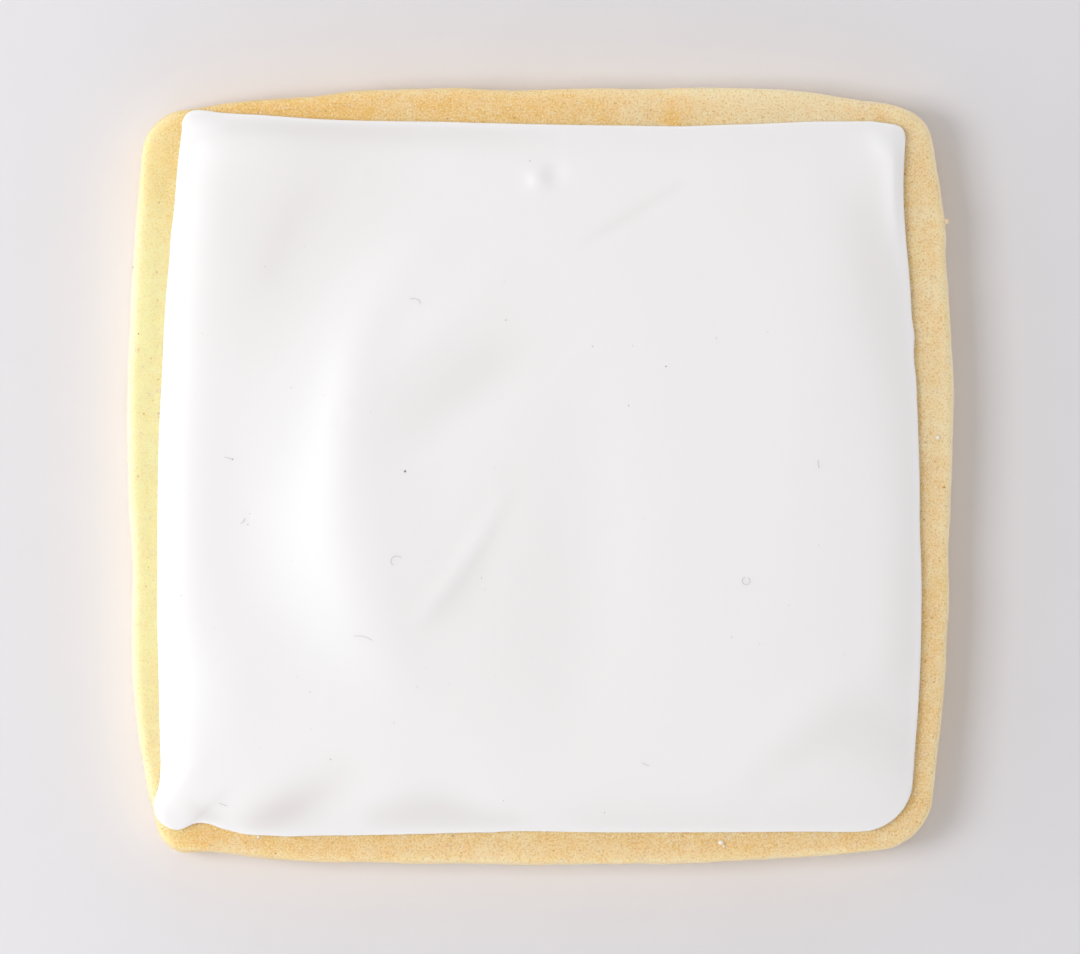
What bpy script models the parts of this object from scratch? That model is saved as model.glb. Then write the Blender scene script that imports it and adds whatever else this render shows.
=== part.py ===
"""An iced sugar cookie: a square cookie with bulged sides under one sheet of white icing.

The origin is at the middle of the bottom face, +X to the cookie's right, +Y to its back, +Z up.
Each outline is a square with bowed sides and rounded corners, pushed in or out by a few small swells.
A point of a piece is placed by its outline point, scaled towards the middle, and by a height. On a
near-square outline that scaling sets every side in by about the same distance.
"""

import math

import bpy
import numpy as np

MM = 0.001

# The cookie's outline at its widest height. Each corner is x, y and the length that its rounding
# takes from both sides, counter-clockwise from the front left. The sides follow in the same order:
# front, right, back, left.
COOKIE_CORNERS = ((-38.1, -38.4, 2.9), (38.8, -37.0, 4.6), (38.8, 38.9, 5.0), (-39.5, 36.0, 3.6))
COOKIE_BULGES = (1.2, 2.5, 1.5, 2.7)
COOKIE_SKEWS = (-0.3, -0.1, -0.5, -0.4)
# Where baking left the edge a little full or hollow: x, y, reach and outward push.
COOKIE_SWELLS = (
    (-2.0, 37.9, 3.7, -0.4),
    (-24.0, 38.5, 2.5, -0.2),
    (-32.0, 38.0, 2.0, 0.1),
    (-38.1, -8.5, 6.3, -0.8),
    (-34.0, -37.5, 5.1, -0.9),
    (-19.0, -38.7, 4.0, 0.1),
    (40.2, -3.9, 2.5, -0.2),
    (40.8, 25.8, 0.9, 0.4),
    (35.1, 42.0, 5.0, -1.9),
)

COOKIE_HEIGHT = 6.4 * MM
BELLY_HEIGHT = 1.3 * MM  # the wall stands out furthest here
FOOT_INSET = 0.35 * MM  # the bottom face starts this far inside the belly
FOOT_ROUNDNESS = 2.3
FOOT_RINGS = 4
WALL_LEAN = 0.3 * MM  # the wall's upper end is this far inside the belly
WALL_RINGS = 3
SHOULDER_WIDTH = 0.9 * MM  # the rounded edge between the wall and the flat top
SHOULDER_HEIGHT = 0.7 * MM
SHOULDER_ROUNDNESS = 2.6
SHOULDER_RINGS = 7

# The icing's outline, in the same form. Its front left corner is a drip with a pinch beside it,
# and its back corners were drawn out into small lobes.
ICING_CORNERS = ((-37.4, -35.4, 2.1), (36.7, -35.3, 4.8), (37.0, 35.9, 4.5), (-34.9, 35.4, 0.6))
ICING_BULGES = (0.1, 0.9, -0.7, 1.8)
ICING_SKEWS = (0.0, 0.4, -0.3, 0.2)
ICING_SWELLS = (
    (-38.0, -32.9, 1.3, 0.9),
    (-33.6, -36.0, 1.4, -1.2),
    (-22.5, -36.7, 7.5, 0.4),
    (-30.8, 32.9, 5.1, 0.7),
    (-34.3, 38.0, 1.5, 1.3),
    (35.3, 33.7, 1.0, 1.2),
    (39.9, 28.4, 6.9, -1.0),
)

ICING_THICKNESS = 1.4 * MM  # from the cookie's top to the icing's
ICING_GAP = 0.3 * MM  # clearance between the two solids
LIP_HEIGHT = 0.75 * MM  # the icing's edge stands upright to here over the cookie
LIP_UNDERCUT = 0.04 * MM
LIP_ROUNDING = 0.2 * MM  # radius of the edge's upper corner
LIP_RINGS = 3
BEAD_WIDTH = 6.0 * MM  # the sheet rises from its edge to its full thickness over this distance
BEAD_POWER = 2.6
BEAD_RINGS = 7
SHEET_RINGS = 9
UNDERSIDE_INSETS = (0.7 * MM, 1.3 * MM, 2.0 * MM, 3.0 * MM, 4.5 * MM)
# Soft swells of the sheet, where the knife and the flow left it uneven: x, y, reach and rise. The
# first four run along the high turn of the knife; the rest are the hollows and banks round it.
SHEET_SWELLS = (
    (-18.0, 12.0, 3.5, 0.20),
    (-19.3, 4.0, 3.5, 0.28),
    (-18.8, -5.0, 4.0, 0.42),
    (-16.0, -13.0, 3.5, 0.32),
    (-29.5, -4.0, 4.0, -0.12),
    (-7.0, 8.0, 3.5, -0.12),
    (4.5, 4.0, 5.0, -0.14),
    (4.5, -12.0, 5.0, -0.18),
    (27.0, 15.0, 6.0, 0.18),
    (27.0, -6.0, 6.0, 0.15),
    (27.0, -25.0, 3.5, 0.16),
    (33.5, 17.0, 3.0, -0.10),
)

SIDE_STEPS = 26
CORNER_STEPS = 8
CORNER_HANDLE = 0.55  # handle length of a corner's curve, as a share of its cut

SHARP_ANGLE = math.radians(50)  # edges that turn more than this are shaded sharp
DOUGH_COLOUR = (0.82, 0.58, 0.28)
DOUGH_ROUGHNESS = 0.8
SUGAR_WHITE = (0.90, 0.88, 0.89)
SUGAR_ROUGHNESS = 0.45


def side_points(start, end, bulge, skew, share):
    """Points on a side: its chord, bowed out by a parabola and swayed by one full sine wave."""
    chord = end - start
    outward = np.array([chord[1], -chord[0]]) / np.hypot(*chord)
    share = np.atleast_1d(share)[:, None]
    bow = bulge * 4 * share * (1 - share) + skew * np.sin(2 * np.pi * share)
    return start + chord * share + outward * bow


def corner_points(before, entry, leave, after, cut):
    """A cubic curve that rounds a corner, tangent to the side at entry and to the side at leave."""
    inward = (entry - before) / np.hypot(*(entry - before))
    onward = (after - leave) / np.hypot(*(after - leave))
    handle = CORNER_HANDLE * cut
    first = entry + inward * handle
    second = leave - onward * handle
    t = np.linspace(0, 1, CORNER_STEPS + 2)[1:-1, None]
    near_entry = (1 - t) ** 3 * entry + 3 * (1 - t) ** 2 * t * first
    return near_entry + 3 * (1 - t) * t**2 * second + t**3 * leave


def swollen(points, swells):
    """The closed outline with each swell pushing its neighbourhood out along the edge's normal."""
    for x, y, reach, push in swells:
        along = np.roll(points, -1, axis=0) - np.roll(points, 1, axis=0)
        outward = np.stack([along[:, 1], -along[:, 0]], axis=1)
        outward /= np.hypot(along[:, 0], along[:, 1])[:, None]
        distance = np.hypot(points[:, 0] - x, points[:, 1] - y)
        points = points + outward * (push * np.exp(-0.5 * (distance / reach) ** 2))[:, None]
    return points


def outline(corners, bulges, skews, swells):
    """The closed outline in metres, counter-clockwise, its points closest together at the corners."""
    spots = [np.array(corner[:2]) for corner in corners]
    cuts = [corner[2] for corner in corners]
    spread = 0.5 - 0.5 * np.cos(np.linspace(0, np.pi, SIDE_STEPS))
    sides = []
    for k in range(4):
        start, end = spots[k], spots[(k + 1) % 4]
        length = np.hypot(*(end - start))
        first, last = cuts[k] / length, 1 - cuts[(k + 1) % 4] / length
        sides.append(side_points(start, end, bulges[k], skews[k], first + (last - first) * spread))
    runs = []
    for k in range(4):
        side, following = sides[k], sides[(k + 1) % 4]
        rounding = corner_points(side[-2], side[-1], following[0], following[1], cuts[(k + 1) % 4])
        runs += [side, rounding]
    return swollen(np.concatenate(runs), swells) * MM


def bead_rise(inset):
    """Height of the icing's top over the cookie at an inset from its edge.

    The bead is level less a power of what is left of its width. A quarter circle rounds the upper
    corner of the upright edge.
    """
    across = max(1 - inset / BEAD_WIDTH, 0)
    corner = max(1 - inset / LIP_ROUNDING, 0)
    rounding = LIP_ROUNDING * (1 - math.sqrt(1 - corner**2))
    return ICING_THICKNESS - (ICING_THICKNESS - LIP_HEIGHT) * across**BEAD_POWER - rounding


def superellipse(roundness, steps):
    """Shares of a quarter of a superellipse from its side to its top: how far in, how far up."""
    angle = np.linspace(0, math.pi / 2, steps + 1)
    across = np.cos(angle).clip(0) ** (2 / roundness)
    up = np.sin(angle) ** (2 / roundness)
    return 1 - across, up


def set_in(edge, inset):
    """The outline scaled towards the middle, so that its sides move in by the inset."""
    return edge * (1 - inset / HALF_WIDTH)


def ring(edge, inset, height):
    """Corners of one ring of a piece: the outline set in, at one height or at a height for each."""
    flat = set_in(edge, inset)
    return np.column_stack([flat, np.broadcast_to(height, len(flat))])


def cookie_top(points):
    """The cookie's surface height over each point, from its share of the way to the outline."""
    heading = np.arctan2(points[:, 1], points[:, 0])
    edge_heading = np.arctan2(COOKIE_EDGE[:, 1], COOKIE_EDGE[:, 0])
    reach = np.interp(heading, edge_heading, np.hypot(*COOKIE_EDGE.T), period=2 * np.pi)
    inset = (1 - np.hypot(*points.T) / reach) * HALF_WIDTH
    across = (1 - (inset - WALL_LEAN) / SHOULDER_WIDTH).clip(0, 1)
    up = (1 - across**SHOULDER_ROUNDNESS) ** (1 / SHOULDER_ROUNDNESS)
    return COOKIE_HEIGHT - SHOULDER_HEIGHT * (1 - up)


def sheet_relief(points):
    """Rise of the icing's top over each point, as a sum of soft round swells."""
    rise = np.zeros(len(points))
    for x, y, reach, height in SHEET_SWELLS:
        distance = np.hypot(points[:, 0] - x * MM, points[:, 1] - y * MM)
        rise += height * MM * np.exp(-0.5 * (distance / (reach * MM)) ** 2)
    return rise


def skin(name, rings, material):
    """One closed object from rings listed bottom middle to top middle, each end closed to a point."""
    around = len(rings[0])
    points = np.concatenate([rings[0].mean(axis=0)[None], *rings, rings[-1].mean(axis=0)[None]])
    last = len(points) - 1
    here = np.arange(around)
    ahead = np.roll(here, -1)
    faces = [(0, 1 + b, 1 + a) for a, b in zip(here, ahead)]
    for k in range(len(rings) - 1):
        low, high = 1 + k * around, 1 + (k + 1) * around
        faces += [(low + a, low + b, high + b, high + a) for a, b in zip(here, ahead)]
    top = last - around
    faces += [(top + a, top + b, last) for a, b in zip(here, ahead)]
    mesh = bpy.data.meshes.new(name)
    mesh.from_pydata(points.tolist(), [], [tuple(int(i) for i in face) for face in faces])
    mesh.materials.append(material)
    mesh.shade_smooth()
    mesh.set_sharp_from_angle(angle=SHARP_ANGLE)
    piece = bpy.data.objects.new(name, mesh)
    bpy.context.scene.collection.objects.link(piece)
    return piece


def plain_material(name, colour, roughness):
    """A Principled material of one linear colour."""
    material = bpy.data.materials.new(name)
    material.use_nodes = True
    shader = material.node_tree.nodes["Principled BSDF"]
    shader.inputs["Base Color"].default_value = (*colour, 1.0)
    shader.inputs["Roughness"].default_value = roughness
    return material


def make_cookie():
    """The baked dough: a flat bottom, a rounded foot, a nearly upright wall and a rounded shoulder."""
    inward, up = superellipse(FOOT_ROUNDNESS, FOOT_RINGS)
    foot = [
        ring(COOKIE_EDGE, FOOT_INSET * far, BELLY_HEIGHT * (1 - high))
        for far, high in zip(inward[:0:-1], up[:0:-1])
    ]
    wall_top = COOKIE_HEIGHT - SHOULDER_HEIGHT
    wall = [
        ring(COOKIE_EDGE, WALL_LEAN * share**2, BELLY_HEIGHT + (wall_top - BELLY_HEIGHT) * share)
        for share in np.linspace(0, 1, WALL_RINGS, endpoint=False)
    ]
    inward, up = superellipse(SHOULDER_ROUNDNESS, SHOULDER_RINGS)
    shoulder = [
        ring(COOKIE_EDGE, WALL_LEAN + SHOULDER_WIDTH * far, wall_top + SHOULDER_HEIGHT * high)
        for far, high in zip(inward, up)
    ]
    baked = plain_material("baked sugar dough", DOUGH_COLOUR, DOUGH_ROUGHNESS)
    return skin("cookie", foot + wall + shoulder, baked)


def make_icing():
    """The icing: it follows the cookie underneath, and its bead runs into a softly uneven sheet."""
    underside = [
        ring(ICING_EDGE, inset, cookie_top(set_in(ICING_EDGE, inset)) + ICING_GAP)
        for inset in (*UNDERSIDE_INSETS[::-1], LIP_UNDERCUT)
    ]
    corner = LIP_ROUNDING * (1 - np.cos(np.linspace(0, math.pi / 2, LIP_RINGS + 1)))
    bead = LIP_ROUNDING + (BEAD_WIDTH - LIP_ROUNDING) * np.linspace(0, 1, BEAD_RINGS + 1)[1:] ** 1.4
    sheet = np.linspace(BEAD_WIDTH, HALF_WIDTH, SHEET_RINGS + 2)[1:-1]
    top = []
    for inset in (*corner, *bead, *sheet):
        flat = set_in(ICING_EDGE, inset)
        relief = sheet_relief(flat) * min(inset / BEAD_WIDTH, 1)
        top.append(ring(ICING_EDGE, inset, cookie_top(flat) + bead_rise(inset) + relief))
    iced = plain_material("dried royal icing", SUGAR_WHITE, SUGAR_ROUGHNESS)
    return skin("icing", underside + top, iced)


def clear_scene():
    for item in list(bpy.data.objects):
        bpy.data.objects.remove(item, do_unlink=True)


clear_scene()
COOKIE_EDGE = outline(COOKIE_CORNERS, COOKIE_BULGES, COOKIE_SKEWS, COOKIE_SWELLS)
ICING_EDGE = outline(ICING_CORNERS, ICING_BULGES, ICING_SKEWS, ICING_SWELLS)
MIDDLE = (COOKIE_EDGE.min(axis=0) + COOKIE_EDGE.max(axis=0)) / 2
COOKIE_EDGE -= MIDDLE
ICING_EDGE -= MIDDLE
HALF_WIDTH = 0.25 * np.ptp(COOKIE_EDGE, axis=0).sum()
make_cookie()
make_icing()
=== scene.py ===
"""An iced sugar cookie: rolled dough baked pale gold under one knifed sheet of white royal icing.

Run as a script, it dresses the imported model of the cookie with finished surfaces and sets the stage.
Lengths are metres unless a name or a comment says millimetres. +X is the cookie's right, +Y its back.
"""

import math

import bpy
import numpy as np
from bpy.props import FloatProperty, FloatVectorProperty, IntProperty, PointerProperty
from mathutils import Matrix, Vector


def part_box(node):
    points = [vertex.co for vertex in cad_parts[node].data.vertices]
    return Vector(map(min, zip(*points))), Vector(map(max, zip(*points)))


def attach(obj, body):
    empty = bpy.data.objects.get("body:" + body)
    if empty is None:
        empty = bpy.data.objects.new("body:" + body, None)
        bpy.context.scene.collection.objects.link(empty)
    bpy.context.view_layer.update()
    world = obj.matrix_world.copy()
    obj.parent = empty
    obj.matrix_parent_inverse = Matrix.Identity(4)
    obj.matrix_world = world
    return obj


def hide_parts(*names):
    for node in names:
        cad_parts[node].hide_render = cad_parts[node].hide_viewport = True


bl_info = {
    "name": "Iced Sugar Cookie",
    "version": (1, 0, 0),
    "blender": (4, 5, 0),
    "location": "3D View > Sidebar > Cookie",
    "description": "Bakes a square sugar cookie, ices it and drops its crumbs and dust",
    "category": "Add Mesh",
}

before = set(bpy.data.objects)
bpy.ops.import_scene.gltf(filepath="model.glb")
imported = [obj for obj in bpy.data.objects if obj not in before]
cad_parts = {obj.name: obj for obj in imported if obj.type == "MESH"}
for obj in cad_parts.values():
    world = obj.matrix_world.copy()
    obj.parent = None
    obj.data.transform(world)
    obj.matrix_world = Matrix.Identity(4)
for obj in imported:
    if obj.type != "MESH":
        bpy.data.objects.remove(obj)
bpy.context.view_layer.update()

MM = 0.001
COOKIE_LOW, COOKIE_HIGH = (np.array(corner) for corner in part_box("cookie"))
HALF_WIDTH = 0.25 * (COOKIE_HIGH - COOKIE_LOW)[:2].sum()  # mean distance from the middle to a side
COOKIE_HEIGHT = COOKIE_HIGH[2]

# ---- Shape of the edges --------------------

# Powers of the superellipses that round the dough, and of the icing's bead.
SHOULDER_ROUNDNESS = 2.6
FOOT_ROUNDNESS = 2.3
BEAD_POWER = 2.6

# Swells of the outlines: each is x, y, reach and outward push in millimetres.
DOUGH_EDGE_SWELLS = (
    (41.0, 9.0, 1.6, 0.12), (41.2, -8.5, 2.0, -0.15), (40.5, 23.0, 6.0, -0.08), (-41.0, 2.0, 1.8, -0.10),
    (-41.0, 11.0, 2.5, 0.10), (-40.6, 20.0, 2.4, 0.08), (-28.5, 37.6, 3.0, 0.12), (-18.0, 38.5, 2.4, 0.08),
    (10.0, 38.7, 2.6, -0.14), (16.5, 38.8, 2.0, 0.10), (8.0, -38.9, 4.0, -0.08), (13.0, -38.8, 2.0, 0.08),
    (-18.0, -38.4, 2.2, -0.12),
)
ICING_EDGE_SWELLS = (
    (37.3, 13.9, 0.8, 0.12), (37.2, 12.0, 1.2, -0.14), (37.3, 16.0, 1.6, -0.10), (37.8, -5.0, 2.4, -0.12),
    (37.4, -28.0, 3.0, -0.08), (-31.0, -35.9, 0.9, -0.25), (-25.0, -36.0, 1.2, 0.10),
    (-22.0, -36.0, 5.0, -0.10), (-5.0, -35.7, 0.9, 0.08), (-2.0, -35.6, 4.0, -0.16),
    (-37.6, -15.0, 2.0, 0.05), (-37.0, 19.0, 3.5, 0.08), (-36.8, 10.0, 2.4, -0.06),
    (-36.0, 24.0, 1.2, 0.12), (-10.0, 35.2, 2.2, 0.04), (14.0, 35.0, 2.4, -0.08), (27.0, 35.3, 2.4, 0.07),
)

# How deep the dough's colour went: x, y and reach in millimetres, and the change from the middling
# bake. Below zero the dough stayed pale.
BAKE_SPOTS = (
    (-38.0, 34.0, 5.0, 0.50), (-24.0, 37.0, 9.0, 0.55), (2.0, 37.5, 9.0, 0.25), (24.0, 37.0, 9.0, -0.40),
    (37.0, 33.0, 6.0, 0.10), (39.5, 5.0, 12.0, -0.25), (39.0, -19.0, 7.0, 0.10), (4.0, -37.5, 9.0, 0.05),
    (28.0, -37.5, 9.0, 0.05), (-24.0, -38.0, 7.0, 0.25), (-36.0, -36.5, 3.0, 0.55),
    (39.0, 18.8, 1.0, -0.40), (37.6, 26.0, 0.9, -0.50), (13.2, 35.5, 0.7, 0.90), (9.5, 36.3, 0.8, -0.40),
)

# Strokes that the knife and the settling left in the icing. A stroke is a chain of spots along a
# smooth path, each x, y, reach and rise in millimetres.
ICING_STROKES = {
    "turn of the knife": (
        (-8.0, 25.5, 2.2, 0.06), (-13.0, 20.5, 2.2, 0.16), (-17.8, 13.0, 1.9, 0.28),
        (-19.3, 2.5, 2.5, 0.46), (-19.2, -5.5, 3.4, 0.66), (-17.0, -12.5, 3.2, 0.56),
        (-14.5, -18.5, 2.2, 0.20), (-12.0, -21.5, 2.0, 0.03),
    ),
    "inside of the turn": (
        (-15.0, 9.0, 3.0, 0.10), (-14.5, 0.0, 3.2, 0.22), (-13.5, -7.0, 3.2, 0.28),
        (-11.0, -12.0, 2.6, 0.12),
    ),
    "hollow left of the turn": (
        (-25.0, 18.0, 2.4, -0.03), (-28.5, 8.0, 2.4, -0.08), (-30.0, -3.0, 2.4, -0.14),
        (-28.0, -13.0, 2.4, -0.12), (-23.0, -21.0, 2.4, -0.05),
    ),
    "bank above the groove": (
        (-16.5, 8.5, 1.8, 0.10), (-12.5, 13.0, 1.8, 0.20), (-8.0, 16.5, 1.8, 0.16),
        (-3.0, 19.0, 1.8, 0.05),
    ),
    "groove inside the turn": (
        (-13.5, 1.5, 1.8, -0.05), (-9.5, 5.5, 1.8, -0.15), (-4.5, 9.5, 1.8, -0.15),
        (1.0, 13.0, 1.8, -0.05),
    ),
    "ridge from the turn": (
        (-12.2, -14.6, 0.7, 0.06), (-8.9, -10.2, 0.7, 0.11), (-5.8, -5.6, 0.7, 0.11),
        (-3.4, -1.2, 0.7, 0.05),
    ),
    "furrow beside the ridge": (
        (-10.0, -14.5, 1.1, -0.06), (-7.0, -10.0, 1.1, -0.10), (-4.5, -5.5, 1.0, -0.08),
        (-2.5, 0.5, 0.9, -0.04),
    ),
    "long swell": (
        (3.5, 17.5, 3.6, -0.05), (4.5, 7.5, 3.6, -0.15), (5.0, -4.5, 3.6, -0.25), (4.5, -16.0, 3.6, -0.20),
        (3.0, -28.0, 3.6, -0.10),
    ),
    "right swell": (
        (25.5, 27.0, 4.6, 0.10), (27.0, 15.0, 4.6, 0.25), (27.0, 1.0, 4.6, 0.20), (26.0, -12.0, 4.6, 0.15),
        (21.0, -24.0, 4.6, 0.10),
    ),
    "lip by the right edge": (
        (32.8, 34.2, 0.8, 0.10), (35.4, 32.0, 1.1, 0.50), (35.9, 28.5, 1.1, 0.50), (36.5, 24.0, 1.0, 0.25),
    ),
    "valley by the right edge": (
        (30.0, 31.0, 1.6, -0.08), (32.3, 25.0, 1.8, -0.18), (34.0, 16.0, 1.8, -0.16),
        (34.8, 5.0, 1.6, -0.08), (34.8, -8.0, 1.6, -0.04),
    ),
    "crease by the back left lobe": (
        (-35.0, 33.4, 0.5, -0.08), (-34.0, 34.3, 0.5, -0.12), (-33.0, 34.8, 0.5, -0.05),
    ),
    "sweep to the right corner": (
        (15.0, -32.0, 2.2, 0.05), (21.0, -28.5, 2.2, 0.15), (27.0, -24.5, 2.2, 0.30),
        (32.0, -20.0, 2.2, 0.15),
    ),
    "bank under the sweep": (
        (22.0, -32.5, 1.8, 0.10), (27.5, -30.0, 1.8, 0.20), (32.0, -26.5, 1.8, 0.10),
    ),
    "dent by the drip": (
        (-30.0, -34.0, 1.6, 0.10), (-26.5, -33.0, 1.8, 0.04), (-22.5, -31.0, 1.8, -0.12),
        (-19.0, -28.5, 1.8, -0.06),
    ),
    "dent beside it": (
        (-15.5, -31.5, 1.8, 0.12), (-11.0, -32.5, 1.8, -0.04), (-6.0, -33.0, 1.6, -0.12),
    ),
    "left bank": (
        (-31.5, -14.5, 2.2, -0.06), (-31.0, -21.0, 2.2, 0.14), (-30.0, -26.0, 2.2, 0.10),
    ),
    "pull from the left corner": (
        (-32.0, 33.5, 2.0, 0.10), (-27.5, 33.5, 2.0, 0.16), (-21.0, 32.5, 2.0, -0.04),
    ),
    "trail at the back left": (
        (-30.0, 19.0, 1.8, 0.05), (-27.5, 25.0, 1.8, 0.06), (-23.0, 30.0, 1.8, 0.03),
    ),
    "trail beside it": (
        (-26.0, 17.0, 1.8, -0.04), (-23.5, 22.5, 1.8, -0.05), (-20.0, 28.0, 1.8, -0.03),
    ),
    "scrape at the back": (
        (4.0, 23.0, 0.6, -0.02), (9.0, 26.0, 0.6, -0.05), (15.0, 29.5, 0.6, -0.03),
    ),
}

# Painted light and shade on the icing, in strokes like those above. Above zero the white is
# painted brighter, as where the sheet catches the light; below zero it is painted greyer, as in
# shade.
ICING_LIGHT_AND_SHADE = {
    "lit heap of the turn": (
        (-16.5, 21.5, 1.6, 0.08), (-20.0, 14.5, 1.8, 0.32), (-22.6, 6.0, 2.1, 0.75),
        (-24.0, -2.5, 2.5, 1.10), (-23.6, -9.0, 2.5, 1.10), (-21.0, -15.0, 2.1, 0.85),
        (-18.3, -19.5, 1.6, 0.30),
    ),
    "lip by the right edge": (
        (33.0, 34.4, 0.8, 0.35), (35.6, 32.2, 1.0, 0.90), (36.2, 28.5, 1.0, 1.00), (36.5, 24.5, 1.0, 0.75),
        (37.0, 20.5, 0.8, 0.25),
    ),
    "shaded groove": (
        (-15.5, 4.0, 1.8, -0.08), (-11.5, 7.0, 2.2, -0.18), (-6.5, 10.5, 2.4, -0.34),
        (-2.5, 13.5, 2.2, -0.12),
    ),
    "shaded furrow": (
        (-9.5, -14.0, 1.5, -0.24), (-6.6, -10.3, 1.1, -0.22), (-3.8, -5.0, 0.9, -0.10),
        (-2.0, 0.5, 0.9, -0.10),
    ),
    "lit ridge": (
        (-11.4, -13.8, 0.5, 0.08), (-7.9, -8.8, 0.5, 0.14), (-4.9, -4.3, 0.5, 0.14),
        (-2.8, 0.0, 0.5, 0.06),
    ),
    "shaded middle": (
        (-3.5, 0.0, 4.5, -0.08), (-2.5, -12.0, 5.0, -0.16), (-4.0, -25.0, 5.0, -0.14),
    ),
    "shaded right side": (
        (32.0, 30.0, 1.4, -0.12), (32.8, 24.0, 1.8, -0.28), (34.5, 16.0, 2.0, -0.28),
        (36.0, 6.0, 1.4, -0.20), (36.4, -8.0, 1.4, -0.20), (36.0, -20.0, 1.6, -0.25),
    ),
    "shaded front right corner": (
        (20.0, -31.5, 1.2, -0.08), (26.0, -27.0, 1.6, -0.18), (32.0, -24.0, 2.8, -0.28),
        (35.0, -27.5, 2.8, -0.48),
    ),
    "shaded beside the drip": (
        (-29.0, -34.4, 1.0, -0.40), (-25.3, -33.2, 1.3, -0.80), (-21.5, -31.2, 1.4, -0.38),
        (-18.0, -28.5, 1.6, -0.12),
    ),
    "fold by the drip": (
        (-34.6, -32.6, 0.6, -0.25), (-33.6, -33.7, 0.7, -0.45), (-31.6, -34.4, 0.6, -0.30),
    ),
    "shaded front": (
        (-17.0, -34.0, 0.9, -0.25), (-11.5, -33.2, 1.4, -0.50), (-7.0, -33.8, 1.0, -0.35),
        (-2.0, -34.4, 0.7, -0.15),
    ),
    "shaded back left corner": (
        (-29.0, 14.0, 4.5, -0.18), (-27.0, 22.0, 5.0, -0.34), (-25.0, 29.0, 5.5, -0.42),
        (-16.0, 31.5, 4.5, -0.22),
    ),
    "streak in the shaded corner": (
        (-27.5, 19.0, 1.0, -0.06), (-25.5, 24.0, 1.0, -0.10), (-24.0, 28.0, 1.0, -0.05),
    ),
    "shaded back edge": (
        (-31.0, 34.8, 0.6, -0.20), (-24.0, 34.6, 0.8, -0.25), (-17.0, 34.3, 1.0, -0.28),
        (-8.0, 34.0, 1.0, -0.25), (1.0, 33.8, 1.0, -0.08),
    ),
    "shaded front edge": (
        (3.0, -34.2, 2.0, -0.12), (13.0, -34.6, 2.0, -0.12), (23.0, -34.6, 2.0, -0.08),
        (31.0, -34.2, 2.0, -0.15),
    ),
    "flat inside the turn": (
        (-9.5, 1.0, 1.6, 0.12), (-11.5, -4.0, 1.8, 0.18), (-13.5, -9.0, 1.4, 0.10),
    ),
    "scrape at the back": (
        (4.0, 23.0, 0.4, -0.08), (9.0, 26.0, 0.5, -0.16), (14.0, 29.0, 0.4, -0.10),
    ),
    "scratch in the middle": (
        (0.0, 8.0, 0.3, 0.10), (3.0, 12.0, 0.3, 0.18), (6.0, 15.5, 0.3, 0.10),
    ),
    "bank at the left edge": (
        (-35.5, -15.0, 1.4, 0.20), (-34.6, -20.0, 1.8, 0.70), (-33.6, -25.5, 1.6, 0.50),
    ),
}

# Burst bubbles and trapped crumbs in the icing: x, y, reach and rise in millimetres.
ICING_SPOTS = (
    (-0.1, 29.5, 0.80, 0.21), (1.4, 30.1, 0.80, -0.14), (-28.9, -3.9, 0.30, -0.03),
    (-2.9, -10.2, 0.4, 0.04), (-21.1, -22.1, 0.35, 0.04), (-15.9, 7.0, 0.35, -0.03),
    (-19.8, 5.5, 0.4, -0.03), (18.0, -13.0, 0.3, 0.03), (25.0, -13.0, 0.3, 0.03), (11.5, 28.8, 0.4, 0.03),
    (-17.4, 29.8, 0.45, 0.04),
)

# Loose bits, in millimetres. Flakes, crumbs and specks: x, y and width.
ICING_FLAKES = (
    (18.0, -36.4, 0.70), (18.3, -36.8, 0.40), (18.8, -36.1, 0.25), (-28.0, -35.9, 0.35), (39.6, 3.9, 0.45),
)
DOUGH_CRUMBS = (
    (40.5, 25.4, 0.45), (-32.9, -36.7, 0.35), (39.2, 19.8, 0.30), (38.9, 17.9, 0.25), (37.6, 26.3, 0.30),
    (10.6, 36.0, 0.25), (9.8, 36.2, 0.20),
)
BROWN_SPECKS = (
    (-40.5, 20.8, 0.20), (-39.9, 18.3, 0.14), (-39.1, 21.2, 0.14), (-39.4, 6.2, 0.14),
    (-26.3, -37.5, 0.26), (5.4, 37.3, 0.22), (39.3, 4.7, 0.25), (40.1, 4.3, 0.20), (40.2, -1.1, 0.22),
    (37.6, 3.0, 0.22),
)
DARK_SPECKS = (
    (-13.4, 0.5, 0.18), (8.8, 7.0, 0.12), (12.5, 10.9, 0.11), (17.5, 13.7, 0.10), (5.2, 12.9, 0.09),
    (22.6, 14.3, 0.09), (-1.0, 31.3, 0.11), (-3.4, 15.5, 0.09), (-27.3, 20.8, 0.09), (-33.5, 14.2, 0.09),
    (-23.4, 22.8, 0.08), (-24.7, 8.8, 0.08), (-16.8, 6.4, 0.08), (-30.5, 1.7, 0.10), (-28.8, -3.7, 0.08),
    (-29.0, -4.8, 0.08), (-24.7, -8.4, 0.08), (-5.8, -10.1, 0.10), (-12.2, -20.9, 0.10),
    (-9.0, -20.6, 0.08), (-14.5, -24.5, 0.09), (-20.8, -28.1, 0.10), (-24.1, -19.9, 0.08),
    (-22.7, -25.1, 0.08), (24.7, -12.8, 0.08), (30.2, -17.7, 0.09), (6.4, -33.4, 0.09),
)
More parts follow.
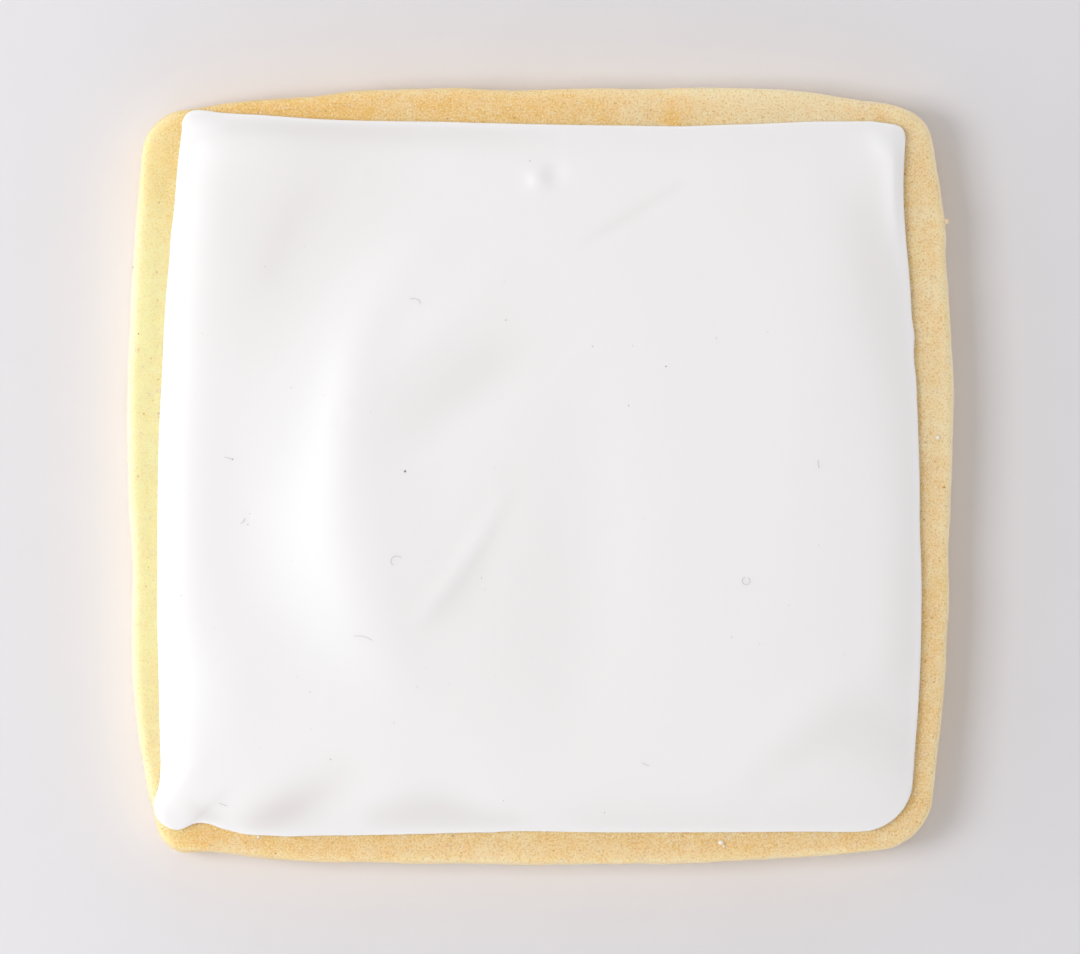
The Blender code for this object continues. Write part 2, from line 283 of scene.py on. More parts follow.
# Fibres of lint: x, y and length in millimetres, first heading and turn in degrees, and the power
# that gathers the turn: above one towards the fibre's end, below one towards its start.
LINT_FIBRES = (
    (-13.0, 17.6, 1.4, 5.0, -110.0, 2.5), (-14.4, -8.7, 2.0, 250.0, -290.0, 0.5),
    (-18.6, -15.9, 2.1, 12.0, -50.0, 1.0), (20.5, -10.0, 2.2, 180.0, 330.0, 1.0),
    (27.6, 1.7, 0.9, -95.0, 25.0, 1.0), (-31.4, 1.9, 1.0, -5.0, -25.0, 1.0),
    (-31.9, -32.4, 0.9, -28.0, 15.0, 1.0), (-29.8, -4.7, 0.8, 10.0, 80.0, 1.0),
    (10.1, -28.4, 0.8, -30.0, 10.0, 1.0),
)

# ---- Noise --------------------


def smoothstep(value):
    """Rises from 0 to 1 as the value does, level at both ends: 3 v^2 - 2 v^3."""
    value = np.clip(value, 0, 1)
    return value * value * (3 - 2 * value)


def lattice_noise(points, size, seed):
    """Soft noise from -1 to 1: random values on a cubic lattice of this size, blended between."""
    cells = 64  # along each side of the lattice, after which it repeats
    table = np.random.default_rng(seed).uniform(-1, 1, (cells, cells, cells))
    place = points / size
    cell = np.floor(place)
    weight = smoothstep(place - cell)
    cell = cell.astype(int)
    total = np.zeros(len(points))
    for corner in np.ndindex(2, 2, 2):
        share = np.prod(np.where(corner, weight, 1 - weight), axis=1)
        x, y, z = ((cell + corner) % cells).T
        total += share * table[x, y, z]
    return total


def layered_noise(points, layers):
    """A sum of lattice noises, each layer a size, a height and a seed."""
    return sum(height * lattice_noise(points, size, seed) for size, height, seed in layers)


# ---- Outlines --------------------


def node_outline(name):
    """A CAD node's outline from above, counter-clockwise.

    Every ring of a node is its outline scaled about the origin, so its corners stand along shared
    headings. Of those on a heading the farthest counts, unless an edge crosses beyond it.
    """
    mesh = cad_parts[name].data
    corners = np.empty(len(mesh.vertices) * 3, np.float32)
    mesh.vertices.foreach_get("co", corners)
    corners = corners.reshape(-1, 3)[:, :2].astype(float)
    ends = np.empty(len(mesh.edges) * 2, np.int32)
    mesh.edges.foreach_get("vertices", ends)
    start, end = corners[ends[::2]], corners[ends[1::2]]
    outer = corners[np.hypot(*corners.T) > 0.5 * HALF_WIDTH]
    heading = np.arctan2(outer[:, 1], outer[:, 0])
    order = np.argsort(heading)
    next_heading = 0.001
    firsts = np.flatnonzero(np.diff(heading[order]) > next_heading) + 1
    groups = np.split(outer[order], firsts)
    tips = np.array([group[np.argmax(np.hypot(*group.T))] for group in groups])
    reach = np.hypot(*tips.T)
    ahead = tips / reach[:, None]
    # a tip is on the outline where no edge crosses its heading beyond it
    before = np.outer(ahead[:, 0], start[:, 1]) - np.outer(ahead[:, 1], start[:, 0])
    after = np.outer(ahead[:, 0], end[:, 1]) - np.outer(ahead[:, 1], end[:, 0])
    crosses = before * after < 0
    share = before / np.where(crosses, before - after, 1)
    crossing = ahead @ start.T + share * (ahead @ (end - start).T)
    beyond = np.where(crosses, crossing, 0).max(axis=1)
    slack = 0.03 * MM
    return tips[reach > beyond - slack]


def closed_curve(points, count):
    """Evenly spaced points on a smooth closed curve through the given ones.

    Between two points it is a cubic in the chord length, whose slope at each point is that of the
    parabola through it and its two neighbours.
    """
    ahead = np.roll(points, -1, axis=0)
    chord = np.hypot(*(ahead - points).T)
    here, back = (ahead - points) / chord[:, None], np.roll(chord, 1)[:, None]
    slope = (here * back + np.roll(here, 1, axis=0) * chord[:, None]) / (back + chord[:, None])
    start = np.concatenate([[0], np.cumsum(chord)])
    along = np.linspace(0, start[-1], count, endpoint=False)
    k = np.searchsorted(start, along, side="right") - 1
    span = chord[k][:, None]
    t = ((along - start[k]) / chord[k])[:, None]
    leave, arrive = slope[k] * span, np.roll(slope, -1, axis=0)[k] * span
    from_here = (2 * t**3 - 3 * t**2 + 1) * points[k] + (t**3 - 2 * t**2 + t) * leave
    return from_here + (3 * t**2 - 2 * t**3) * ahead[k] + (t**3 - t**2) * arrive


def outward_of(points):
    """Unit normals of a closed outline, pointing out."""
    along = np.roll(points, -1, axis=0) - np.roll(points, 1, axis=0)
    return np.column_stack([along[:, 1], -along[:, 0]]) / np.hypot(*along.T)[:, None]


def swollen(points, swells):
    """The outline with each swell, a round bell curve, pushing its neighbourhood along the normal."""
    for x, y, reach, push in np.array(swells) * MM:
        near = np.exp(-0.5 * (np.hypot(points[:, 0] - x, points[:, 1] - y) / reach) ** 2)
        points = points + outward_of(points) * (push * near)[:, None]
    return points


def set_in(edge, inset):
    """The outline scaled towards the middle, so that its sides move in by the inset."""
    return edge * (1 - inset / HALF_WIDTH)


def inset_from(points, edge):
    """How far each point lies inside the outline, by its share of the way out along its heading."""
    headings = np.arctan2(edge[:, 1], edge[:, 0])
    heading = np.arctan2(points[:, 1], points[:, 0])
    reach = np.interp(heading, headings, np.hypot(*edge.T), period=2 * np.pi)
    return (1 - np.hypot(points[:, 0], points[:, 1]) / reach) * HALF_WIDTH


OUTLINE_POINTS = 4096
DOUGH_EDGE = swollen(closed_curve(node_outline("cookie"), OUTLINE_POINTS), DOUGH_EDGE_SWELLS)
ICING_EDGE = swollen(closed_curve(node_outline("icing"), OUTLINE_POINTS), ICING_EDGE_SWELLS)


# ---- Surfaces --------------------

# The unevenness of each surface, in layers of noise: size, height and seed.
ICING_UNEVENNESS = (
    (9.0 * MM, 0.035 * MM, 11),
    (4.0 * MM, 0.010 * MM, 12),
    (1.6 * MM, 0.0015 * MM, 13),
)
DOUGH_UNEVENNESS = (
    (11.0 * MM, 0.10 * MM, 21),
    (4.0 * MM, 0.07 * MM, 22),
    (1.5 * MM, 0.045 * MM, 23),
    (0.7 * MM, 0.03 * MM, 24),
)


def dough_profile(dough):
    """The cookie's section as insets and heights, from the rim of its underside up to its flat top.

    The foot and the shoulder are quarter superellipses, and the wall between them leans in with
    the square of its height.
    """
    arc_steps, wall_steps = 80, 40
    quarter = np.linspace(0, math.pi / 2, arc_steps)
    across, up = np.cos(quarter).clip(0), np.sin(quarter)
    foot_in = dough.foot_inset * (1 - across ** (2 / FOOT_ROUNDNESS))
    foot_up = dough.belly_height * (1 - up ** (2 / FOOT_ROUNDNESS))
    wall_top = COOKIE_HEIGHT - dough.shoulder_height
    rise = np.linspace(0, 1, wall_steps)[1:-1]
    wall_in = dough.wall_lean * rise**2
    wall_up = dough.belly_height + (wall_top - dough.belly_height) * rise
    shoulder_in = dough.wall_lean + dough.shoulder_width * (1 - across ** (2 / SHOULDER_ROUNDNESS))
    shoulder_up = wall_top + dough.shoulder_height * up ** (2 / SHOULDER_ROUNDNESS)
    return (
        np.concatenate([foot_in[::-1], wall_in, shoulder_in]),
        np.concatenate([foot_up[::-1], wall_up, shoulder_up]),
    )


def dough_top(points, dough):
    """The cookie's surface height over each point: its shoulder's superellipse, then the flat top."""
    inset = inset_from(points, DOUGH_EDGE)
    across = np.clip(1 - (inset - dough.wall_lean) / dough.shoulder_width, 0, 1)
    up = (1 - across**SHOULDER_ROUNDNESS) ** (1 / SHOULDER_ROUNDNESS)
    return COOKIE_HEIGHT - dough.shoulder_height * (1 - up)


def dough_finish(points):
    """How the dough's skin turned out at each point, as shares from 0 to 1.

    Damp fades with distance from the icing: fat leaves deeper gold there, and the same colour is
    painted shade where the icing's edge shades the dough. Flour fades with distance from the wall,
    and on the left side it is mostly a painted highlight along the lit edge. Bake is a middling
    tone plus the bake spots, less where the skin by the wall dried first. The painted lit side
    marks the left side, mostly its middle, painted paler and creamier as the light falls on it,
    and toast the foot, which took most.
    """
    damp_reach, dry_reach, flour_reach = 1.5 * MM, 2.2 * MM, 1.4 * MM
    shoulder, shoulder_blend = 4.6 * MM, 0.8 * MM
    foot, cloud_size, cloud_seed = 0.5 * MM, 3.0 * MM, 31
    side, side_blend = 0.82, 0.14  # half widths from the middle, towards the left
    corner, corner_blend, corner_loss = 0.4, 0.5, 0.45  # half widths along that side, and a share
    middling, dry_loss = 0.45, 0.25
    flat = points[:, :2]
    inset = inset_from(flat, DOUGH_EDGE)
    beyond = -inset_from(flat, ICING_EDGE)
    on_top = smoothstep((points[:, 2] - shoulder) / shoulder_blend)
    showing = 0.3 + 0.7 * on_top
    bake = middling + bell_sum(flat, np.array(BAKE_SPOTS) * MM) / MM
    dry = 1 - smoothstep(inset / dry_reach)
    dusted = 1 - smoothstep(inset / flour_reach)
    # painted light: the left side, where the lamps shine, is painted paler
    lit_side_share = smoothstep((-points[:, 0] / HALF_WIDTH - side) / side_blend)
    near_corner = smoothstep((np.abs(points[:, 1]) / HALF_WIDTH - corner) / corner_blend)
    lit_side_share *= 1 - corner_loss * near_corner
    cloudy = 0.5 + 0.5 * lattice_noise(points, cloud_size, cloud_seed)
    return {
        # fat beside the icing, and painted shade where the icing's edge shades the dough
        "damp_and_shade": np.exp(-np.clip(beyond, 0, None) / damp_reach) * on_top,
        "bake": np.clip(bake - dry_loss * dry, 0, 1),
        # painted light: the left side is painted paler and creamier, as the light falls on it
        "painted_lit_side": lit_side_share * 0.85 * showing,
        # flour by the wall, and on the left side a painted highlight along the lit edge
        "flour_and_lit_edge": dusted * (0.03 + 0.65 * lit_side_share**3) * showing,
        "toast": (1 - smoothstep(points[:, 2] / foot)) * (0.45 + 0.4 * cloudy),
    }


def chain_of_spots(stroke):
    """A stroke as many close spots: x, y, reach and height read off a smooth path through its own.

    The path is a Catmull-Rom curve. Each spot's height is the stroke's rise there times the share
    that makes the summed row as high as the rise.
    """
    spots = np.array(stroke) * MM
    ends = np.vstack([2 * spots[0] - spots[1], spots, 2 * spots[-1] - spots[-2]])
    for_each = 12
    share = np.linspace(0, len(spots) - 1, for_each * len(spots))
    k = np.minimum(share.astype(int), len(spots) - 2)
    t = (share - k)[:, None]
    a, b, c, d = (ends[k + n] for n in range(4))
    row = 0.5 * (2 * b + (c - a) * t + (2 * a - 5 * b + 4 * c - d) * t**2 + (3 * b - a - 3 * c + d) * t**3)
    gap = np.hypot(*np.gradient(row[:, :2], axis=0).T)
    row[:, 3] *= gap / (row[:, 2] * math.sqrt(2 * math.pi))
    return row


def bell_sum(points, spots):
    """Height over each point of a sum of bell curves, each x, y, reach and height."""
    height = np.zeros(len(points))
    for x, y, reach, rise in spots:
        away = (points[:, 0] - x) ** 2 + (points[:, 1] - y) ** 2
        height += rise * np.exp(-0.5 * away / reach**2)
    return height


def icing_relief(points, icing):
    """Rise of the sheet's top over each point: bell curves along the strokes and at the spots."""
    rows = [chain_of_spots(stroke) for stroke in ICING_STROKES.values()]
    flat = np.column_stack([points, np.zeros(len(points))])
    rise = bell_sum(points, np.concatenate([*rows, np.array(ICING_SPOTS) * MM]))
    return rise * icing.stroke_depth + layered_noise(flat, ICING_UNEVENNESS)


def icing_light_and_shade(points):
    """Painted light and shade at each point, from -1, the greyest shade, to 1, the whitest light."""
    rows = [chain_of_spots(stroke) for stroke in ICING_LIGHT_AND_SHADE.values()]
    return np.clip(bell_sum(points, np.concatenate(rows)) / MM, -1, 1)


def icing_top(points, icing, dough):
    """The icing's upper surface over each point: the dough's top, plus the bead.

    The bead is a dome from the lip to the full sheet, level less a power of what is left of its
    width. A quarter circle rounds the corner where the dome meets the upright edge. The relief
    grows from nothing at the edge to the whole at its margin, level at both ends.
    """
    inset = np.clip(inset_from(points, ICING_EDGE), 0, None)
    across = np.clip(1 - inset / icing.bead_width, 0, 1)
    corner = np.clip(1 - inset / icing.corner_radius, 0, 1)
    rounding = icing.corner_radius * (1 - np.sqrt(1 - corner**2))
    bead = icing.thickness - (icing.thickness - icing.lip_height) * across**BEAD_POWER - rounding
    fade = smoothstep(inset / icing.relief_margin)
    return dough_top(points, dough) + bead + icing_relief(points, icing) * fade


# ---- Meshes --------------------

# How each ring that closes a top or an underside is scaled from the ring around it.
CAP_SHRINKS = (0.95, 0.9, 0.8, 0.6)
CAP_STEP = 2 ** len(CAP_SHRINKS)  # the rings halve each time, so the outer one has a multiple of this


def ring_faces(low, high, around):
    """Four-sided faces between two rings of the same count, given each ring's first corner."""
    here = np.arange(around)
    ahead = np.roll(here, -1)
    return np.column_stack([low + here, low + ahead, high + ahead, high + here])


def halving_faces(outer, inner, around):
    """Triangles between a ring and one of half its count, wound as the outer ring runs."""
    k = np.arange(around // 2)
    a, b, c = outer + 2 * k, outer + 2 * k + 1, outer + (2 * k + 2) % around
    p, q = inner + k, inner + (k + 1) % (around // 2)
    return np.concatenate(
        [np.column_stack([a, b, p]), np.column_stack([b, c, q]), np.column_stack([b, q, p])]
    )


def closing_cap(ring, first, height_at):
    """Closes a ring towards the middle with rings of half the count each time, and a middle point.

    Each ring is the one before it, scaled about the origin by the next of CAP_SHRINKS. The first
    ring's corners start at index first, and the added points, which are returned with the faces,
    follow it. height_at gives the height over flat points.
    """
    points, faces = [], []
    outer, around = first, len(ring)
    flat = ring[:, :2]
    following = first + around
    for shrink in CAP_SHRINKS:
        flat = flat[::2] * shrink
        points.append(np.column_stack([flat, height_at(flat)]))
        faces.append(halving_faces(outer, following, around))
        outer, around = following, len(flat)
        following += around
    middle = flat.mean(axis=0)[None]
    points.append(np.column_stack([middle, height_at(middle)]))
    here = np.arange(around)
    fan = np.column_stack([outer + here, outer + np.roll(here, -1), np.full(around, following)])
    return np.concatenate(points), np.concatenate([*faces, fan])


def new_piece(name, points, face_sets, material, slot=None, node=None):
    """A smooth object at the origin from corners and arrays of faces.

    A slot makes it a piece of the cookie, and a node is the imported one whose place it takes.
    """
    corners = np.concatenate([faces.ravel() for faces in face_sets])
    sizes = np.concatenate([np.full(len(faces), faces.shape[1]) for faces in face_sets])
    mesh = bpy.data.meshes.new(name)
    mesh.vertices.add(len(points))
    mesh.vertices.foreach_set("co", np.asarray(points, np.float32).ravel())
    mesh.loops.add(len(corners))
    mesh.loops.foreach_set("vertex_index", corners.astype(np.int32))
    mesh.polygons.add(len(sizes))
    mesh.polygons.foreach_set("loop_start", np.concatenate([[0], np.cumsum(sizes)[:-1]]).astype(np.int32))
    mesh.update(calc_edges=True)
    if mesh.validate():
        raise RuntimeError(f"the mesh of {name} had faults")
    mesh.shade_smooth()
    mesh.materials.append(material)
    piece = bpy.data.objects.new(name, mesh)
    bpy.context.scene.collection.objects.link(piece)
    if slot:
        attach(piece, "root")
    if node:
        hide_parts(node)
    return piece


def store(piece, name, values):
    """Keeps a number for each corner of the piece's mesh, for its material to read."""
    attribute = piece.data.attributes.new(name, "FLOAT", "POINT")
    attribute.data.foreach_set("value", np.asarray(values, np.float32))


def surface_height(points, icing, dough):
    """The finished cookie's height over each point: the icing's top inside its edge, else the dough's."""
    iced = inset_from(points, ICING_EDGE) > 0
    return np.where(iced, icing_top(points, icing, dough), dough_top(points, dough))


def pebble():
    """Corners and faces of a rough ball: two rings of six corners between two poles."""
    turn, wide = np.arange(6) * math.pi / 3, 0.87
    upper, lower = (
        np.column_stack([wide * np.cos(turn + twist), wide * np.sin(turn + twist), np.full(6, height)])
        for height, twist in ((0.5, 0.0), (-0.5, math.pi / 6))
    )
    here, ahead = np.arange(6), np.roll(np.arange(6), -1)
    faces = [
        np.column_stack([np.full(6, 0), 1 + here, 1 + ahead]),
        np.column_stack([1 + here, 7 + here, 1 + ahead]),
        np.column_stack([1 + ahead, 7 + here, 7 + ahead]),
        np.column_stack([np.full(6, 13), 7 + ahead, 7 + here]),
    ]
    return np.vstack([[0, 0, 1], upper, lower, [0, 0, -1]]), np.concatenate(faces)


def scattered_pebbles(spots, heights, flatness, sunk, chance):
    """Pebbles at spots of x, y and width, each one roughened, stretched and turned by chance.

    Flatness is their height over their width, and sunk the share of it below the surface.
    """
    ball, ball_faces = pebble()
    count = len(spots)
    rough, stretched = 0.3, 0.3
    shape = ball * (1 + rough * chance.uniform(-1, 1, (count, len(ball), 1)))
    shape *= 1 + stretched * chance.uniform(-1, 1, (count, 1, 3))
    turn = chance.uniform(0, 2 * math.pi, (count, 1))
    across = shape[..., 0] * np.cos(turn) - shape[..., 1] * np.sin(turn)
    along = shape[..., 0] * np.sin(turn) + shape[..., 1] * np.cos(turn)
    radius = spots[:, 2:] / 2
    up = heights[:, None] + (shape[..., 2] + 1 - 2 * sunk) * flatness * radius
    points = np.stack([spots[:, :1] + across * radius, spots[:, 1:2] + along * radius, up], axis=-1)
    faces = ball_faces + len(ball) * np.arange(count)[:, None, None]
    return points.reshape(-1, 3), [faces.reshape(-1, 3)]


def spots_on(edge, count, low, high, sizes, chance):
    """Random spots whose inset from the outline lies between two limits, each x, y and width."""
    field, tries = 1.1 * HALF_WIDTH, 60 * count  # many more tries than it takes to reach the count
    tried = chance.uniform(-field, field, (tries, 2))
    inset = inset_from(tried, edge)
    kept = tried[(inset > low) & (inset < high)][:count]
    return np.column_stack([kept, chance.uniform(*sizes, len(kept))])


def fibre_tubes(fibres, radius, height_at):
    """Fine closed tubes that lie on a surface.

    Each path's heading turns by a power of the share of its length; its x and y are the running
    sums of the heading's cosine and sine. Its height over the surface is half a sine wave, and a
    ring of six corners rounds each of its steps. Towards both ends the tube thins by the root of
    one less the eighth power of the share of the way from its middle.
    """
    steps, sides, arch_height, thinnest = 28, 6, 0.04 * MM, 0.02
    share = np.linspace(0, 1, steps)
    tube_points, tube_faces = [], []
    for x, y, reach, heading, turn, power in fibres:
        bearing = np.radians(heading + turn * share**power)
        step = reach * MM / (steps - 1)
        way = np.column_stack([np.cos(bearing), np.sin(bearing)])
        path = np.array([x, y]) * MM + step * np.cumsum(way, axis=0)
        arch = arch_height * np.sin(math.pi * share) + radius
        thin = radius * np.sqrt(1 - (2 * share - 1) ** 8).clip(thinnest)
        around = np.arange(sides) * 2 * math.pi / sides
        side = np.column_stack([-way[:, 1], way[:, 0]])
        flat = path[:, None] + side[:, None] * (thin[:, None] * np.cos(around))[..., None]
        up = (height_at(path) + arch)[:, None] + thin[:, None] * np.sin(around)
        first = steps * sides * len(tube_points)
        rings = first + sides * np.arange(steps - 1)
        tube_points.append(np.concatenate([flat, up[..., None]], axis=-1).reshape(-1, 3))
        tube_faces += [ring_faces(low, low + sides, sides) for low in rings]
        tube_faces += [first + np.arange(sides)[None, ::-1], rings[-1] + sides + np.arange(sides)[None]]
    return np.concatenate(tube_points), tube_faces


# ---- Materials --------------------


def linear(hex_colour):
    """Linear red, green and blue of an sRGB hex colour."""
    parts = [int(hex_colour[k : k + 2], 16) / 255 for k in (1, 3, 5)]
    return tuple(p / 12.92 if p <= 0.04045 else ((p + 0.055) / 1.055) ** 2.4 for p in parts)


def per_mm(size):
    """The scale that makes a pattern's features this many millimetres wide."""
    return 1 / (size * MM)


def add_node(tree, kind, inputs=(), **settings):
    """Adds a shader node with its settings. An input that is a socket is linked, others are set."""
    node = tree.nodes.new("ShaderNode" + kind)
    for key, value in settings.items():
        setattr(node, key, value)
    for key, value in dict(inputs).items():
        if isinstance(value, bpy.types.NodeSocket):
            tree.links.new(value, node.inputs[key])
        else:
            node.inputs[key].default_value = value
    return node


def new_material(name):
    """An empty material with its Principled shader: returns the material, its nodes and the shader."""
    material = bpy.data.materials.new(name)
    material.use_nodes = True
    tree = material.node_tree
    return material, tree, tree.nodes["Principled BSDF"]


def baked_dough_material(look):
    """Rolled sugar dough, baked: matte and sandy, pale gold, with browned foot and open pores.

    Flour and sugar leave a grain of about a fifth of a millimetre, with pale sugar here and there
    painted brighter as glints. The inside of each open pore is painted darker, as its shade. Fat
    that cooked out shows as deeper gold beside the icing, where the surface never dried, and the
    same colour is painted shade where the icing's edge shades the dough. The left side is painted
    paler and creamier as the light falls on it, with a painted highlight along its edge. The tone
    goes from pale to gold in patches of 6 mm mottled at 1 mm.
    """
    material, tree, shader = new_material("baked sugar dough")
    place = add_node(tree, "TexCoord").outputs["Object"]
    finish = ("toast", "damp_and_shade", "bake", "painted_lit_side", "flour_and_lit_edge")
    share = {name: add_node(tree, "Attribute", attribute_name=name).outputs["Fac"] for name in finish}

    patches, mottle, grain = (
        add_node(tree, "TexNoise", {"Vector": place, "Scale": per_mm(size), **detail}).outputs["Fac"]
        for size, detail in (
            (6.0, {"Detail": 3.0}),
            (1.1, {"Detail": 3.0}),
            (0.20, {"Detail": 2.0, "Roughness": 0.7}),
        )
    )
    glints, pores = (
        add_node(tree, "TexVoronoi", {"Vector": place, "Scale": per_mm(size), "Randomness": 1.0}).outputs
        for size in (0.28, 0.70)
    )

    # each share: a value, the two levels it runs between, and what they become
    for name, value, low, high, at_low, at_high in (
        ("patchy", patches, 0.3, 0.7, -0.15, 0.15),
        ("mottled", mottle, 0.3, 0.7, -0.2, 0.2),
        ("fat", mottle, 0.3, 0.6, 0.05, 0.20),
        ("rough by the icing", share["damp_and_shade"], 0.0, 1.0, 0.7, 0.85),
        ("rough on the lit side", share["painted_lit_side"], 0.0, 1.0, 1.0, 0.8),
        ("dark grain", grain, 0.50, 0.70, 0.0, 0.75),
        ("pale grain", grain, 0.50, 0.30, 0.0, 1.0),
        ("glint", glints["Distance"], 0.35, 0.2, 0.0, 1.0),
        ("lit", glints["Color"], 0.78, 0.82, 0.0, 1.0),
        ("pit", pores["Distance"], 0.18, 0.08, 0.0, 1.0),
        ("open", pores["Color"], 0.70, 0.74, 0.0, 1.0),
        ("deep by the icing", share["damp_and_shade"], 0.0, 1.0, 0.35, 0.7),
    ):
        limits = {"From Min": low, "From Max": high, "To Min": at_low, "To Max": at_high}
        share[name] = add_node(tree, "MapRange", {"Value": value, **limits}).outputs["Result"]

    for name, first, second, operation in (
        ("patchy tone", "bake", "patchy", "ADD"),
        ("tone", "patchy tone", "mottled", "ADD"),
        # deeper gold of fat beside the icing, which is also painted shade there
        ("greasy_and_shaded", "damp_and_shade", "fat", "MULTIPLY"),
        ("rough", "rough by the icing", "rough on the lit side", "MULTIPLY"),
        ("dark", "rough", "dark grain", "MULTIPLY"),
        ("light", "rough", "pale grain", "MULTIPLY"),
        ("lit glint", "glint", "lit", "MULTIPLY"),
        ("sparkle", "lit glint", "rough", "MULTIPLY"),
        ("hole", "pit", "open", "MULTIPLY"),
        ("hollow", "hole", "deep by the icing", "MULTIPLY"),
    ):
        factors = {0: share[first], 1: share[second]}
        share[name] = add_node(tree, "Math", factors, operation=operation).outputs[0]

    hues = (look.pale, look.gold, look.painted_lit_side, look.flour_and_lit_edge, look.brown, look.pore_shade, look.sugar_glint)
    pale, gold, painted_lit_side, flour_and_lit_edge, brown, pore_shade, sugar_glint = ((*hue, 1.0) for hue in hues)
    shade_mix = {0: share["painted_lit_side"], 6: brown, 7: gold}  # on the painted lit side the grain shades to gold only
    shade = add_node(tree, "Mix", shade_mix, data_type="RGBA").outputs[2]
    surface = pale
    for name, hue in (
        ("tone", gold),
        ("painted_lit_side", painted_lit_side),
        ("flour_and_lit_edge", flour_and_lit_edge),
        # brown for fat, and for painted shade beside the icing
        ("greasy_and_shaded", brown),
        ("dark", shade),
        ("light", pale),
        # pale sugar, painted brighter as glints
        ("sparkle", sugar_glint),
        # painted shade inside the open pores
        ("hollow", pore_shade),
        ("toast", brown),
    ):
        layer = {0: share[name], 6: surface, 7: hue}
        surface = add_node(tree, "Mix", layer, data_type="RGBA").outputs[2]
    tree.links.new(surface, shader.inputs["Base Color"])

    sand = {"Height": grain, "Strength": 0.55, "Distance": 0.06 * MM}
    sandy = add_node(tree, "Bump", sand).outputs["Normal"]
    holes = {"Height": share["hole"], "Strength": 0.6, "Distance": 0.08 * MM, "Normal": sandy}
    pitted = add_node(tree, "Bump", holes, invert=True).outputs["Normal"]
    tree.links.new(pitted, shader.inputs["Normal"])
    shader.inputs["Roughness"].default_value = 0.72
    shader.inputs["IOR"].default_value = 1.45
    shader.inputs["Specular IOR Level"].default_value = 0.35
    shader.inputs["Subsurface Weight"].default_value = 0.7
    shader.inputs["Subsurface Radius"].default_value = (1.0, 0.75, 0.45)
    shader.inputs["Subsurface Scale"].default_value = 1.2 * MM
    return material


def dried_icing_material(look):
    """Royal icing, poured and dried: dense white sugar with a satin crust.

    The crust is smooth enough to carry a soft window of light on every slope, with a faint
    sugar grain that only shows near the highlight. Its white is painted greyer and whiter with the
    light and shade of the sheet's strokes.
    """
    material, tree, shader = new_material("dried royal icing")
    place = add_node(tree, "TexCoord").outputs["Object"]
    cloud, grain = (
        add_node(tree, "TexNoise", {"Vector": place, "Scale": per_mm(size), "Detail": 2.0}).outputs["Fac"]
        for size in (9.0, 0.25)
    )
    # painted light and shade: the body attribute greys the white in shade and whitens it in light
    body = add_node(tree, "Attribute", attribute_name="body").outputs["Fac"]
    white, cream, thin, lit_icing = ((*hue, 1.0) for hue in (look.white, look.cream, look.thin, look.lit_icing))
    tint = add_node(tree, "Mix", {0: cloud, 6: white, 7: cream}, data_type="RGBA").outputs[2]
    for fullest, hue in ((-1.0, thin), (1.0, lit_icing)):
        limits = {"Value": body, "From Min": 0.0, "From Max": fullest}
        amount = add_node(tree, "MapRange", limits).outputs["Result"]
        tint = add_node(tree, "Mix", {0: amount, 6: tint, 7: hue}, data_type="RGBA").outputs[2]
    tree.links.new(tint, shader.inputs["Base Color"])
    satin = {"Value": cloud, "From Min": 0.3, "From Max": 0.7, "To Min": 0.30, "To Max": 0.36}
    tree.links.new(add_node(tree, "MapRange", satin).outputs["Result"], shader.inputs["Roughness"])
    crust = {"Height": grain, "Strength": 0.12, "Distance": 0.03 * MM}
    tree.links.new(add_node(tree, "Bump", crust).outputs["Normal"], shader.inputs["Normal"])
    shader.inputs["IOR"].default_value = 1.5
    shader.inputs["Subsurface Weight"].default_value = 0.1
    shader.inputs["Subsurface Radius"].default_value = (1.0, 0.9, 0.8)
    shader.inputs["Subsurface Scale"].default_value = 0.9 * MM
    return material


def crumb_material(name, hue, second, roughness):
    """A loose bit: one colour that goes over to a second in patches of a quarter millimetre."""
    material, tree, shader = new_material(name)
    place = add_node(tree, "TexCoord").outputs["Object"]
    noise = {"Vector": place, "Scale": per_mm(0.25), "Detail": 2.0}
    patches = add_node(tree, "TexNoise", noise).outputs["Fac"]
    tones = {0: patches, 6: (*hue, 1.0), 7: (*second, 1.0)}
    tree.links.new(add_node(tree, "Mix", tones, data_type="RGBA").outputs[2], shader.inputs["Base Color"])
    shader.inputs["Roughness"].default_value = roughness
    return material


def paper_material(look):
    """Matte white card: nearly even, with a very faint cloudy tooth a few millimetres wide."""
    material, tree, shader = new_material("matte white card")
    place = add_node(tree, "TexCoord").outputs["Object"]
    noise = {"Vector": place, "Scale": per_mm(6.0), "Detail": 4.0}
    cloud = add_node(tree, "TexNoise", noise).outputs["Fac"]
    dimmer = tuple(0.97 * part for part in look.paper)
    tones = {0: cloud, 6: (*look.paper, 1.0), 7: (*dimmer, 1.0)}
    tree.links.new(add_node(tree, "Mix", tones, data_type="RGBA").outputs[2], shader.inputs["Base Color"])
    shader.inputs["Roughness"].default_value = 0.9
    shader.inputs["Specular IOR Level"].default_value = 0.2
    return material


# ---- Settings --------------------


def length(name, description, millimetres, low=0.01, high=50.0):
    """A length property with its default given in millimetres."""
    return FloatProperty(
        name=name,
        description=description,
        default=millimetres * MM,
        min=low * MM,
        max=high * MM,
        unit="LENGTH",
        precision=5,
    )


def number(name, description, default, low=0.0, unit="NONE"):
    """A number property with a lower limit, and a unit where one fits."""
    return FloatProperty(name=name, description=description, default=default, min=low, unit=unit)


def angle(name, description, degrees):
    """An angle property with its default given in degrees."""
    return FloatProperty(name=name, description=description, default=math.radians(degrees), subtype="ANGLE")


def whole_number(name, description, default, low=1):
    """A whole number property with a lower limit."""
    return IntProperty(name=name, description=description, default=default, min=low)


def colour(name, description, hex_colour):
    """A colour property with its default given as an sRGB hex value."""
    return FloatVectorProperty(
        name=name, description=description, default=linear(hex_colour), min=0.0, max=1.0, subtype="COLOR"
    )


